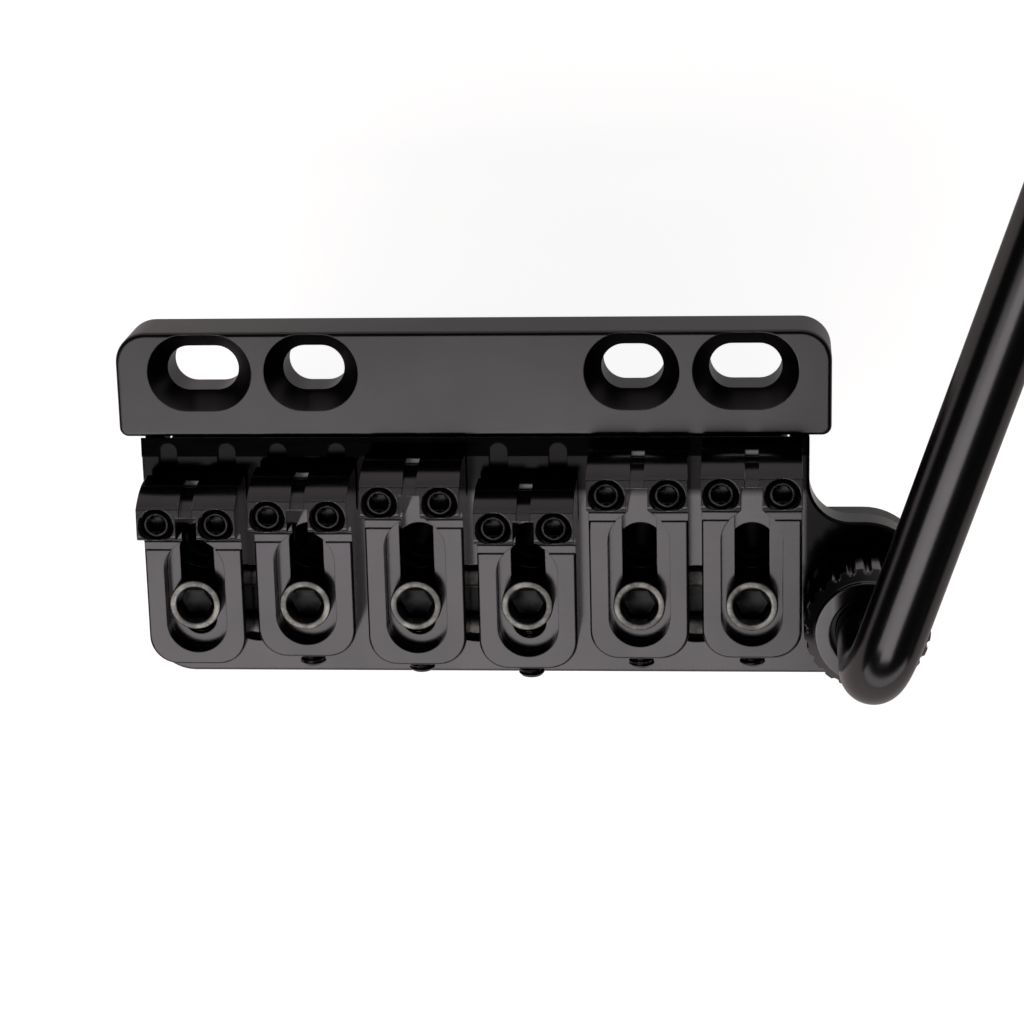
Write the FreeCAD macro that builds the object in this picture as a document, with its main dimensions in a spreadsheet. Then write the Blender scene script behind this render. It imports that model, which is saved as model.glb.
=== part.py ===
import FreeCAD
import Part
import Sketcher
import math
import os

# A guitar tremolo bridge, in millimetres.
# X runs to the treble side, Y towards the neck, Z up from the guitar's top.
# The origin is the middle of the four screw slots, on the plate's underside.

doc = FreeCAD.newDocument("tremolo_bridge")
sheet = doc.addObject("Spreadsheet::Sheet", "sizes")

DIMENSIONS = {
    # fixed plate
    "plate_length": 69.2, "plate_front": 3.95, "plate_rear": 6.4, "plate_height": 6.4,
    "plate_corner": 3.0, "plate_rear_corner": 0.9, "plate_rim": 0.4,
    "slot_end_gap": 8.2, "slot_step": 10.9, "outer_slot_length": 7.0, "inner_slot_length": 6.0,
    "slot_radius": 2.2, "sink_radius": 3.8, "sink_depth": 2.3,
    # pivot under the plate's rear corners
    "pivot_in": 2.1, "ear_radius": 1.85, "ear_width": 1.9, "pocket_gap": 0.2,
    "neck_rise": 0.6, "neck_long": 4.0, "heel_long": 2.5, "dive_angle": 18.0,
    "pin_radius": 1.0, "pin_grip": 2.6, "pin_recess": 0.1, "pin_chamfer": 0.2, "bush_wall": 0.36,
    # fits
    "press_gap": 0.02, "run_gap": 0.04, "thread_gap": 0.04,
    # moving base
    "plate_over": 2.1, "base_gap": 0.95, "base_tail": 8.5, "floor_step": 0.2, "base_thick": 3.2,
    "neck_back": 0.6, "base_rim": 0.25, "base_corner": 4.2, "base_side": 0.725,
    "arm_out": 5.38, "arm_in": 7.35, "tab_ahead": 8.0, "tab_out": 5.92, "tab_corner": 6.0, "tab_fillet": 4.0,
    "clamp_back": 14.55, "string_ahead": 4.6, "string_hole": 2.3,
    "lip_gap": 0.1, "lip_clear": 0.12, "lip_long": 1.0, "lip_drop": 0.13,
    "groove_in": 0.6, "groove_ahead": 6.75, "groove_radius": 0.9, "groove_depth": 0.55,
    # tremolo block and its screws
    "flange_thick": 2.4, "flange_inset": 0.1, "flange_lead": 0.35, "flange_tail": 1.1, "flange_corner": 1.2,
    "block_inset": 0.4, "block_ahead": 3.1, "block_tail": 1.3, "block_deep": 39.0, "block_corner": 1.2,
    "block_chamfer": 0.8, "string_bore": 1.3, "bore_lead": 0.8, "ball_seat": 2.2, "ball_deep": 28.0,
    "spring_bore": 1.3, "spring_deep": 9.0, "spring_in": 3.6,
    "block_screw_back": 1.4, "block_head_gap": 0.45, "block_pocket_depth": 2.3,
    "block_head_web": 0.4, "block_head_high": 1.9, "block_thread": 2.0, "block_screw_long": 12.0,
    "block_hole_gap": 0.15, "block_key": 3.0, "block_key_deep": 1.1,
    # saddles, measured from the floor and from the rear edge of the lug top
    "saddle_gap": 1.25, "lug_top": 7.7, "lug_long": 3.05, "lug_lean": 0.6, "lug_foot": 1.9, "plate_top": 4.6,
    "plate_step": 0.25, "nose_front": 4.68, "nose_start": 3.0,
    "beak": 1.0, "belly": 0.9, "belly_start": 0.4, "belly_end": 3.2, "ledge_web": 0.15, "head_gap": 0.45,
    "shank_slot_gap": 0.15, "slot_front": 3.9, "slot_behind": 1.25, "rear_wall": 4.2, "shank_front": 2.25,
    "channel": 1.0, "channel_front": 2.2, "string_groove": 0.65, "groove_in_nose": 0.65, "lug_wall": 0.44,
    "screw_y": 1.52, "rear_corner": 2.8, "stop_web": 0.06, "lug_edge": 0.5, "lug_drop": 0.2, "lug_corner": 0.8, "foot_fillet": 0.9,
    "plate_edge": 0.25, "hole_lead": 0.15,
    # how far the short and the long saddles reach past the clamp line, and how far each is set back from that
    "short_reach": 8.1, "long_reach": 10.3,
    "saddle_1_set": 0.8, "saddle_2_set": 0.0, "saddle_3_set": 0.8,
    "saddle_4_set": 1.15, "saddle_5_set": 0.1, "saddle_6_set": 0.0,
    # how far each intonation screw stands out of its saddle
    "stop_1_out": 0.05, "stop_2_out": 1.75, "stop_3_out": 1.55,
    "stop_4_out": 1.7, "stop_5_out": 1.75, "stop_6_out": 1.65,
    # small screws
    "clamp_radius": 1.5, "clamp_head": 2.5, "clamp_head_high": 2.3, "clamp_deep": 8.0, "thread_run": 1.5,
    "clamp_dish": 1.8, "clamp_dish_deep": 0.25, "clamp_key": 2.9, "clamp_key_deep": 1.4,
    "height_recess": 0.35, "height_point": 0.7, "height_key": 1.5, "height_key_deep": 1.6,
    "stop_radius": 1.25, "stop_gap": 0.05, "stop_key": 1.27, "stop_key_deep": 1.3, "screw_chamfer": 0.3,
    # arm, its socket and its collar
    "arm_radius": 2.97, "arm_gap": 0.05, "socket_wall": 0.8, "socket_flange": 1.2, "socket_flange_high": 0.8,
    "socket_high": 8.6, "collar_gap": 0.06, "collar_lift": 0.2, "collar_over": 1.3, "collar_wall": 2.12,
    "ring_wall": 1.12, "ring_high": 1.0, "ring_gap": 0.55, "ring_rest": 0.15, "collar_cone": 0.6,
    "flute_radius": 0.4, "flute_offset": 0.1, "collar_edge": 0.4,
    "arm_over": 15.5, "bend_radius": 6.0, "arm_rise": 7.0, "arm_reach": 112.0, "arm_heading": 72.3,
    "foot_gap": 0.4, "arm_tip": 2.5, "arm_chamfer": 0.5,
}

row = 1
for name, number in DIMENSIONS.items():
    sheet.set("A%d" % row, name)
    sheet.set("B%d" % row, repr(number))
    sheet.setAlias("B%d" % row, name)
    row += 1
doc.recompute()


class Size:
    """A number together with the sheet expression that gives it."""

    def __init__(self, value, text):
        self.value = float(value)
        self.text = text

    def join(self, other, sign, value, flip=False):
        theirs = other.text if isinstance(other, Size) else repr(float(other))
        left, right = (theirs, self.text) if flip else (self.text, theirs)
        return Size(value, "(%s %s %s)" % (left, sign, right))

    def __add__(self, other):
        return self.join(other, "+", self.value + number_of(other))

    def __sub__(self, other):
        return self.join(other, "-", self.value - number_of(other))

    def __mul__(self, other):
        return self.join(other, "*", self.value * number_of(other))

    def __truediv__(self, other):
        return self.join(other, "/", self.value / number_of(other))

    def __radd__(self, other):
        return self.join(other, "+", number_of(other) + self.value, True)

    def __rsub__(self, other):
        return self.join(other, "-", number_of(other) - self.value, True)

    def __neg__(self):
        return Size(-self.value, "(0 - %s)" % self.text)


def number_of(size):
    return size.value if isinstance(size, Size) else float(size)


def text_of(size):
    return size.text if isinstance(size, Size) else repr(float(size))


def root(size):
    """The square root of a size."""
    return Size(math.sqrt(size.value), "sqrt(%s)" % size.text)


FITS = {}


def dim(name):
    """A size of the sheet, or one that follows from others."""
    return FITS[name] if name in FITS else Size(DIMENSIONS[name], "sizes.%s" % name)


# Sizes that follow from others: widths along X.
FITS["base_half"] = dim("plate_length") / 2 - dim("plate_over")
FITS["outer_slot_pitch"] = dim("plate_length") - dim("slot_end_gap") * 2
FITS["inner_slot_pitch"] = dim("outer_slot_pitch") - dim("slot_step") * 2
FITS["string_pitch"] = (dim("base_half") - dim("base_side") + dim("saddle_gap") / 2) / 3
FITS["saddle_width"] = dim("string_pitch") - dim("saddle_gap")
FITS["height_half"] = (dim("saddle_width") / 2 + dim("channel")) / 2
FITS["height_radius"] = (dim("saddle_width") / 2 - dim("channel")) / 2 - dim("lug_wall")
FITS["ear_inner"] = dim("base_half") - dim("ear_width")
FITS["pin_inner"] = dim("ear_inner") - dim("pin_grip")
FITS["flange_half"] = dim("ear_inner") - dim("flange_inset")
FITS["block_half"] = dim("flange_half") - dim("block_inset")
FITS["block_screw_pitch"] = dim("string_pitch") * 2
FITS["spring_pitch"] = dim("string_pitch")
FITS["block_head"] = dim("string_pitch") / 2 - dim("clamp_radius") - dim("block_head_web")
FITS["block_pocket"] = dim("block_head") + dim("block_head_gap")
FITS["arm_x"] = dim("base_half") + dim("arm_out")
FITS["tab_right"] = dim("arm_x") + dim("tab_out")
FITS["socket_radius"] = dim("arm_radius") + dim("arm_gap") + dim("socket_wall")
FITS["socket_lip"] = dim("socket_radius") + dim("socket_flange")
FITS["collar_bore"] = dim("socket_radius") + dim("collar_gap")
FITS["collar_radius"] = dim("collar_bore") + dim("collar_wall")
FITS["ring_radius"] = dim("collar_bore") + dim("ring_wall")
FITS["ring_hole"] = dim("arm_radius") + dim("ring_gap")

# Sizes that follow from others: places along Y.
FITS["pivot_y"] = dim("pivot_in") - dim("plate_rear")
FITS["base_front"] = -(dim("plate_rear") + dim("base_gap"))
FITS["clamp_y"] = dim("base_front") - dim("clamp_back")
FITS["base_rear"] = dim("clamp_y") - dim("base_tail")
FITS["string_y"] = dim("clamp_y") + dim("string_ahead")
FITS["block_screw_y"] = dim("clamp_y") - dim("block_screw_back")
FITS["groove_front"] = dim("base_front") - dim("groove_in")
FITS["groove_rear"] = dim("clamp_y") + dim("groove_ahead")
FITS["block_front"] = dim("string_y") + dim("block_ahead")
FITS["lip_front"] = -(dim("plate_rear") + dim("lip_gap"))
FITS["flange_front"] = dim("base_front") + dim("flange_lead")
FITS["flange_rear"] = dim("base_rear") + dim("flange_tail")
FITS["block_rear"] = dim("flange_rear") + dim("block_tail")
FITS["spring_y"] = dim("block_rear") + dim("spring_in")
FITS["arm_y"] = dim("base_rear") + dim("arm_in")
FITS["tab_front"] = dim("arm_y") + dim("tab_ahead")

# Sizes that follow from others: heights along Z.
FITS["pivot_z"] = dim("plate_height") / 2
FITS["floor"] = dim("plate_height") + dim("floor_step")
# The lip's underside keeps clear of the plate's rounded rear edge, which turns about the pivot as the base tips.
rim_in, rim_up = dim("pivot_in") - dim("plate_rim"), dim("pivot_z") - dim("plate_rim")
FITS["lip_swing"] = root(rim_in * rim_in + rim_up * rim_up) + dim("plate_rim") + dim("lip_clear")
for name, place in (("lip_low", "base_front"), ("lip_high", "lip_front")):
    behind = dim("pivot_y") - dim(place)
    FITS[name] = dim("pivot_z") + root(dim("lip_swing") * dim("lip_swing") - behind * behind)
FITS["stop_z"] = dim("stop_radius") + dim("thread_gap") + dim("stop_web")
FITS["ledge"] = dim("stop_z") + dim("stop_radius") + dim("ledge_web")
FITS["socket_top"] = dim("floor") + dim("socket_high")
FITS["collar_top"] = dim("socket_top") + dim("collar_over")
FITS["collar_step"] = dim("collar_top") - dim("ring_high")
FITS["arm_level"] = dim("collar_top") + dim("arm_over")
FITS["arm_foot"] = dim("floor") - dim("base_thick") - dim("flange_thick") + dim("foot_gap")


def bind(obj, prop, size):
    """Sets a property and ties it to its expression."""
    obj.setExpression(prop, text_of(size))


def new_body(label, x=0.0, y=0.0, z=0.0):
    body = doc.addObject("PartDesign::Body", label)
    body.Label = label
    body.AllowCompound = True
    for axis, size in (("x", x), ("y", y), ("z", z)):
        bind(body, "Placement.Base.%s" % axis, size)
    return body


def origin_item(body, role):
    for item in body.Origin.OriginFeatures:
        if item.Role == role:
            return item
    raise ValueError(role)


def new_sketch(body, role, offset=0.0):
    sketch = body.newObject("Sketcher::SketchObject", "sketch")
    sketch.AttachmentSupport = [(origin_item(body, role), "")]
    sketch.MapMode = "FlatFace"
    bind(sketch, "AttachmentOffset.Base.z", offset)
    doc.recompute()
    return sketch


def vec(x, y):
    return FreeCAD.Vector(number_of(x), number_of(y), 0)


def fix_point(sketch, geo, pos, x, y):
    """Ties one point of a sketch to two sizes."""
    for kind, size in (("DistanceX", x), ("DistanceY", y)):
        index = sketch.addConstraint(Sketcher.Constraint(kind, -1, 1, geo, pos, number_of(size)))
        sketch.setExpression("Constraints[%d]" % index, text_of(size))


def fix_radius(sketch, geo, radius):
    index = sketch.addConstraint(Sketcher.Constraint("Radius", geo, number_of(radius)))
    sketch.setExpression("Constraints[%d]" % index, text_of(radius))


def add_polygon(sketch, points, arcs=None, closed=True):
    """An outline, or an open path; arcs gives the centre, radius and turn of each side that is an arc."""
    arcs = arcs or {}
    count = len(points)
    for i in range(count if closed else count - 1):
        start, end = vec(*points[i]), vec(*points[(i + 1) % count])
        if i in arcs:
            centre, radius, clockwise = arcs[i]
            middle = vec(*centre)
            first, last = (end, start) if clockwise else (start, end)
            a0 = math.atan2(first.y - middle.y, first.x - middle.x)
            a1 = math.atan2(last.y - middle.y, last.x - middle.x)
            circle = Part.Circle(middle, FreeCAD.Vector(0, 0, 1), number_of(radius))
            geo = sketch.addGeometry(Part.ArcOfCircle(circle, a0, a1), False)
            fix_point(sketch, geo, 3, centre[0], centre[1])
            fix_radius(sketch, geo, radius)
            for pos in (1, 2):
                mark = vec(*points[i]) if (pos == 1) != clockwise else vec(*points[(i + 1) % count])
                angle = mark.x - middle.x, mark.y - middle.y
                kind = "DistanceX" if abs(angle[0]) < abs(angle[1]) else "DistanceY"
                which = points[i] if (pos == 1) != clockwise else points[(i + 1) % count]
                size = which[0] if kind == "DistanceX" else which[1]
                index = sketch.addConstraint(Sketcher.Constraint(kind, -1, 1, geo, pos, number_of(size)))
                sketch.setExpression("Constraints[%d]" % index, text_of(size))
        else:
            geo = sketch.addGeometry(Part.LineSegment(start, end), False)
            fix_point(sketch, geo, 1, *points[i])
            fix_point(sketch, geo, 2, *points[(i + 1) % count])


def add_circle(sketch, x, y, radius):
    circle = Part.Circle(vec(x, y), FreeCAD.Vector(0, 0, 1), number_of(radius))
    geo = sketch.addGeometry(circle, False)
    fix_point(sketch, geo, 3, x, y)
    fix_radius(sketch, geo, radius)


def add_slot(sketch, first, last, radius):
    """A slot with round ends between two points on a line along X or Y."""
    if abs(number_of(first[0]) - number_of(last[0])) > 0.001:
        points = [(first[0], first[1] - radius), (last[0], last[1] - radius),
                  (last[0], last[1] + radius), (first[0], first[1] + radius)]
    else:
        points = [(first[0] + radius, first[1]), (last[0] + radius, last[1]),
                  (last[0] - radius, last[1]), (first[0] - radius, first[1])]
    add_polygon(sketch, points, {1: (last, radius, False), 3: (first, radius, False)})


def add_hexagon(sketch, across):
    """A hexagonal key socket on the axis, by its width across flats."""
    points = []
    for i in range(6):
        angle = math.radians(60 * i)
        points.append((across * (math.cos(angle) / math.sqrt(3.0)), across * (math.sin(angle) / math.sqrt(3.0))))
    add_polygon(sketch, points)


def solid_step(body, kind, sketch, length, reverse=False, midplane=False, through=False):
    """A pad or a pocket that must change the body's volume."""
    before = body.Shape.Volume if not body.Shape.isNull() else 0.0
    step = body.newObject("PartDesign::%s" % kind, kind.lower())
    step.Profile = sketch
    step.Reversed = reverse
    if midplane:
        step.SideType = "Symmetric"
    if through:
        step.Type = "ThroughAll"
    else:
        bind(step, "Length", length)
    doc.recompute()
    after = body.Shape.Volume
    if abs(after - before) < 1e-4 or (kind == "Pocket") != (after < before):
        raise ValueError("%s changed nothing in %s" % (kind, body.Label))
    return step


def turned(body, sketch, kind="Revolution"):
    """A revolution about the sketch's own vertical axis."""
    step = body.newObject("PartDesign::%s" % kind, kind.lower())
    step.Profile = sketch
    step.ReferenceAxis = (sketch, ["V_Axis"])
    step.Angle = 360.0
    doc.recompute()
    return step


def mirrored(body, steps):
    step = body.newObject("PartDesign::Mirrored", "mirrored")
    step.Originals = steps
    step.MirrorPlane = (origin_item(body, "YZ_Plane"), [""])
    body.Tip = step
    doc.recompute()
    return step


def broken(body, kind, base, size, test):
    """A fillet or chamfer on the edges that pass a test."""
    names = []
    for i, edge in enumerate(base.Shape.Edges):
        if test(edge, edge.CenterOfMass, edge.BoundBox):
            names.append("Edge%d" % (i + 1))
    if not names:
        raise ValueError("no edge for %s in %s" % (kind, body.Label))
    step = body.newObject("PartDesign::%s" % kind, kind.lower())
    step.Base = (base, names)
    bind(step, "Radius" if kind == "Fillet" else "Size", size)
    doc.recompute()
    return step


def cut_loft(body, lower, upper):
    """A countersink between two sketches at different heights."""
    loft = body.newObject("PartDesign::SubtractiveLoft", "sink")
    loft.Profile = lower
    loft.Sections = [upper]
    loft.Ruled = True
    doc.recompute()


def upright_at(spots, reach=0.05):
    """A test for vertical edges standing at given places."""
    def test(edge, centre, box):
        if box.ZLength < 0.3 or box.XLength > 0.02 or box.YLength > 0.02:
            return False
        return any(abs(centre.x - x) < reach and abs(centre.y - y) < reach for x, y in spots)
    return test


nodes = []
half_pitches = [-2.5, -1.5, -0.5, 0.5, 1.5, 2.5]

# Fixed plate: padded, slotted and countersunk, with a pocket at each rear corner for the base's ears.
plate = new_body("fixed_plate")
half = dim("plate_length") / 2
sketch = new_sketch(plate, "XY_Plane")
front, rear = dim("plate_front"), -dim("plate_rear")
add_polygon(sketch, [(-half, rear), (half, rear), (half, front), (-half, front)])
step = solid_step(plate, "Pad", sketch, dim("plate_height"))
h, f, r = half.value, front.value, rear.value
step = broken(plate, "Fillet", step, dim("plate_corner"), upright_at([(h, f), (-h, f)]))
step = broken(plate, "Fillet", step, dim("plate_rear_corner"), upright_at([(h, r), (-h, r)]))
top = DIMENSIONS["plate_height"]
step = broken(plate, "Fillet", step, dim("plate_rim"), lambda e, c, b: b.ZMin > top - 0.01)
sketch = new_sketch(plate, "XY_Plane")
slots = (("outer_slot", -0.5), ("inner_slot", -0.5), ("inner_slot", 0.5), ("outer_slot", 0.5))
for name, side in slots:
    middle = dim(name + "_pitch") * side
    reach = dim(name + "_length") / 2 - dim("slot_radius")
    add_slot(sketch, (middle - reach, 0.0), (middle + reach, 0.0), dim("slot_radius"))
solid_step(plate, "Pocket", sketch, 1.0, reverse=True, through=True)
for name, side in slots:
    middle = dim(name + "_pitch") * side
    reach = dim(name + "_length") / 2 - dim("slot_radius")
    lower = new_sketch(plate, "XY_Plane", dim("plate_height") - dim("sink_depth"))
    add_slot(lower, (middle - reach, 0.0), (middle + reach, 0.0), dim("slot_radius"))
    upper = new_sketch(plate, "XY_Plane", dim("plate_height"))
    add_slot(upper, (middle - reach, 0.0), (middle + reach, 0.0), dim("sink_radius"))
    cut_loft(plate, lower, upper)
sketch = new_sketch(plate, "XY_Plane")
gap = dim("pocket_gap")
inner, outer = dim("ear_inner") - gap, dim("base_half") + gap
pocket_front = dim("pivot_y") + dim("ear_radius") + gap
add_polygon(sketch, [(inner, rear - gap), (outer, rear - gap), (outer, pocket_front), (inner, pocket_front)])
roof = dim("pivot_z") + dim("ear_radius") + gap
pocket = solid_step(plate, "Pocket", sketch, roof, reverse=True)
sketch = new_sketch(plate, "YZ_Plane", dim("pin_inner") - dim("press_gap"))
add_circle(sketch, dim("pivot_y"), dim("pivot_z"), dim("pin_radius") + dim("press_gap"))
bore = solid_step(plate, "Pocket", sketch, half - dim("pin_inner") + gap, reverse=True)
mirrored(plate, [pocket, bore])
nodes.append(plate)

# Pivot pins: driven in from the plate's ends.
pins = new_body("pivot_pins")
sketch = new_sketch(pins, "YZ_Plane", dim("pin_inner"))
add_circle(sketch, dim("pivot_y"), dim("pivot_z"), dim("pin_radius"))
pin = solid_step(pins, "Pad", sketch, half - dim("pin_inner") - dim("pin_recess"))
pin_end = broken(pins, "Chamfer", pin, dim("pin_chamfer"), lambda e, c, b: b.XLength < 0.01)
mirrored(pins, [pin, pin_end])
nodes.append(pins)

# Moving base: a flat floor with the arm's tab on the treble side and two pivot ears at its front corners.
base = new_body("bridge_base")
floor, under = dim("floor"), dim("floor") - dim("base_thick")
wide, back, ahead = dim("base_half"), dim("base_rear"), dim("base_front")
tab_f, tab_r = dim("tab_front"), dim("tab_right")
sketch = new_sketch(base, "XY_Plane", under)
add_polygon(sketch, [(-wide, back), (tab_r, back), (tab_r, tab_f), (wide, tab_f), (wide, ahead), (-wide, ahead)])
step = solid_step(base, "Pad", sketch, dim("base_thick"))
w, bk, ah, tf, tr = wide.value, back.value, ahead.value, tab_f.value, tab_r.value
step = broken(base, "Fillet", step, dim("tab_corner"), upright_at([(tr, bk), (tr, tf)]))
step = broken(base, "Fillet", step, dim("tab_fillet"), upright_at([(w, tf)]))
step = broken(base, "Fillet", step, dim("base_corner"), upright_at([(-w, bk)]))
fl = floor.value
step = broken(base, "Chamfer", step, dim("base_rim"),
              lambda e, c, b: b.ZMin > fl - 0.01 and c.y < ah - 0.1)
lip, slope = dim("lip_front"), ahead - dim("lip_long")
sketch = new_sketch(base, "YZ_Plane")
add_polygon(sketch, [(slope, floor), (slope, dim("lip_low")), (ahead, dim("lip_low")), (lip, dim("lip_high")), (lip, floor)])
solid_step(base, "Pad", sketch, wide * 2, midplane=True)
sketch = new_sketch(base, "YZ_Plane")
add_polygon(sketch, [(slope, floor), (lip, floor - dim("lip_drop")), (lip, floor)])
solid_step(base, "Pocket", sketch, wide * 2, midplane=True)
py, pz, er = dim("pivot_y"), dim("pivot_z"), dim("ear_radius")
ear_wide = wide - dim("ear_inner")
lean = math.radians(DIMENSIONS["dive_angle"])
neck = (ahead - dim("neck_back"), under + dim("neck_rise"))
heel, heel_end = ahead - dim("heel_long"), ahead - dim("neck_long")
sketch = new_sketch(base, "YZ_Plane", dim("ear_inner"))
add_polygon(sketch, [(py, pz - er), (py - er * math.sin(lean), pz + er * math.cos(lean)), neck,
                     (heel_end, neck[1]), (heel_end, under), (heel, pz - er)])
ear = solid_step(base, "Pad", sketch, ear_wide)
sketch = new_sketch(base, "YZ_Plane", dim("ear_inner"))
add_circle(sketch, py, pz, er)
nose = solid_step(base, "Pad", sketch, ear_wide)
bush_bore = dim("pin_radius") + dim("run_gap")
bush_outer = bush_bore + dim("bush_wall")
sketch = new_sketch(base, "YZ_Plane", dim("ear_inner"))
add_circle(sketch, py, pz, bush_outer)
eye = solid_step(base, "Pocket", sketch, ear_wide, reverse=True)
mirrored(base, [ear, nose, eye])
sketch = new_sketch(base, "XY_Plane", floor)
for count in half_pitches:
    add_circle(sketch, dim("string_pitch") * count, dim("string_y"), dim("string_hole"))
    add_circle(sketch, dim("string_pitch") * count, dim("clamp_y"), dim("clamp_radius") + dim("thread_gap"))
add_circle(sketch, dim("arm_x"), dim("arm_y"), dim("socket_radius") + dim("press_gap"))
solid_step(base, "Pocket", sketch, dim("base_thick"))
sketch = new_sketch(base, "XY_Plane", floor)
for count in half_pitches:
    for side in (-1.0, 1.0):
        x = dim("string_pitch") * count + dim("height_half") * side
        add_slot(sketch, (x, dim("groove_rear")), (x, dim("groove_front")), dim("groove_radius"))
solid_step(base, "Pocket", sketch, dim("groove_depth"))
sketch = new_sketch(base, "XY_Plane", floor)
for count in (-1, 0, 1):
    add_circle(sketch, dim("block_screw_pitch") * count, dim("block_screw_y"), dim("block_pocket"))
solid_step(base, "Pocket", sketch, dim("block_pocket_depth"))
sketch = new_sketch(base, "XY_Plane", floor)
for count in (-1, 0, 1):
    add_circle(sketch, dim("block_screw_pitch") * count, dim("block_screw_y"), dim("block_thread") + dim("block_hole_gap"))
solid_step(base, "Pocket", sketch, dim("base_thick"))
nodes.append(base)

# Pivot bushes: pressed into the base's ears.
bushes = new_body("pivot_bushes")
sketch = new_sketch(bushes, "YZ_Plane", dim("ear_inner"))
add_circle(sketch, py, pz, bush_outer)
add_circle(sketch, py, pz, bush_bore)
bush = solid_step(bushes, "Pad", sketch, ear_wide)
mirrored(bushes, [bush])
nodes.append(bushes)

# Tremolo block: a top flange with the same tab, over the block that holds the strings and the cavity springs.
block = new_body("tremolo_block")
low = under - dim("flange_thick")
sketch = new_sketch(block, "XY_Plane", low)
fh, fr, ff = dim("flange_half"), dim("flange_rear"), dim("flange_front")
add_polygon(sketch, [(-fh, fr), (wide, fr), (wide, back), (tab_r, back), (tab_r, tab_f), (fh, tab_f),
                     (fh, ff), (-fh, ff)])
step = solid_step(block, "Pad", sketch, dim("flange_thick"))
step = broken(block, "Fillet", step, dim("tab_corner"), upright_at([(tr, bk), (tr, tf)]))
step = broken(block, "Fillet", step, dim("flange_corner"), upright_at([(-fh.value, fr.value), (-fh.value, ff.value),
                                                                         (fh.value, ff.value)]))
sketch = new_sketch(block, "XY_Plane", low)
bh, bf, br = dim("block_half"), dim("block_front"), dim("block_rear")
add_polygon(sketch, [(-bh, br), (bh, br), (bh, bf), (-bh, bf)])
step = solid_step(block, "Pad", sketch, dim("block_deep"), reverse=True)
corners = [(x, y) for x in (bh.value, -bh.value) for y in (br.value, bf.value)]
step = broken(block, "Fillet", step, dim("block_corner"), upright_at(corners))
foot = (low - dim("block_deep")).value
step = broken(block, "Chamfer", step, dim("block_chamfer"), lambda e, c, b: b.ZMax < foot + 0.01)
sketch = new_sketch(block, "XY_Plane", under)
for count in half_pitches:
    add_circle(sketch, dim("string_pitch") * count, dim("string_y"), dim("string_bore"))
solid_step(block, "Pocket", sketch, 1.0, through=True)
for count in half_pitches:
    lower = new_sketch(block, "XY_Plane", under - dim("bore_lead"))
    add_circle(lower, dim("string_pitch") * count, dim("string_y"), dim("string_bore"))
    upper = new_sketch(block, "XY_Plane", under)
    add_circle(upper, dim("string_pitch") * count, dim("string_y"), dim("string_bore") + dim("bore_lead"))
    cut_loft(block, lower, upper)
sketch = new_sketch(block, "XY_Plane", low - dim("block_deep"))
for count in half_pitches:
    add_circle(sketch, dim("string_pitch") * count, dim("string_y"), dim("ball_seat"))
solid_step(block, "Pocket", sketch, dim("ball_deep"), reverse=True)
sketch = new_sketch(block, "XY_Plane", low - dim("block_deep"))
for count in (-2, -1, 0, 1, 2):
    add_circle(sketch, dim("spring_pitch") * count, dim("spring_y"), dim("spring_bore"))
solid_step(block, "Pocket", sketch, dim("spring_deep"), reverse=True)
sketch = new_sketch(block, "XY_Plane", under)
for count in half_pitches:
    add_circle(sketch, dim("string_pitch") * count, dim("clamp_y"), dim("clamp_radius") + dim("thread_gap"))
solid_step(block, "Pocket", sketch, dim("clamp_deep") - dim("base_thick") - dim("ledge") + dim("thread_run"))
sketch = new_sketch(block, "XY_Plane", under)
for count in (-1, 0, 1):
    add_circle(sketch, dim("block_screw_pitch") * count, dim("block_screw_y"), dim("block_thread") + dim("press_gap"))
solid_step(block, "Pocket", sketch, dim("block_screw_long"))
sketch = new_sketch(block, "XY_Plane", under)
add_circle(sketch, dim("arm_x"), dim("arm_y"), dim("socket_radius") + dim("press_gap"))
solid_step(block, "Pocket", sketch, dim("flange_thick"))
nodes.append(block)


def screw_body(label, x, y, z, outline, across, deep, axis_top):
    """A turned screw with a hexagonal key socket in its top."""
    body = new_body(label, x, y, z)
    profile = new_sketch(body, "XZ_Plane")
    add_polygon(profile, outline)
    turned(body, profile)
    key = new_sketch(body, "XY_Plane", axis_top)
    add_hexagon(key, across)
    solid_step(body, "Pocket", key, deep)
    nodes.append(body)
    return body


# Block screws: three low-headed screws that hold the block up to the base.
seat = floor - dim("block_pocket_depth")
head, high, thread = dim("block_head"), dim("block_head_high"), dim("block_thread")
edge, deep = dim("screw_chamfer"), dim("block_screw_long")
outline = [(0.0, -deep), (thread - edge, -deep), (thread, edge - deep), (thread, 0.0), (head, 0.0),
           (head, high - edge), (head - edge, high), (0.0, high)]
screws = screw_body("block_screws", 0.0, dim("block_screw_y"), seat, outline, dim("block_key"),
                    dim("block_key_deep"), high)
steps = [item for item in screws.Group if item.TypeId in ("PartDesign::Revolution", "PartDesign::Pocket")]
for side in (1, -1):
    row_step = screws.newObject("PartDesign::LinearPattern", "row")
    row_step.Originals = steps
    row_step.Direction = (origin_item(screws, "X_Axis"), [""])
    row_step.Reversed = side < 0
    bind(row_step, "Length", dim("block_screw_pitch"))
    row_step.Occurrences = 2
    screws.Tip = row_step
    doc.recompute()

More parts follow.
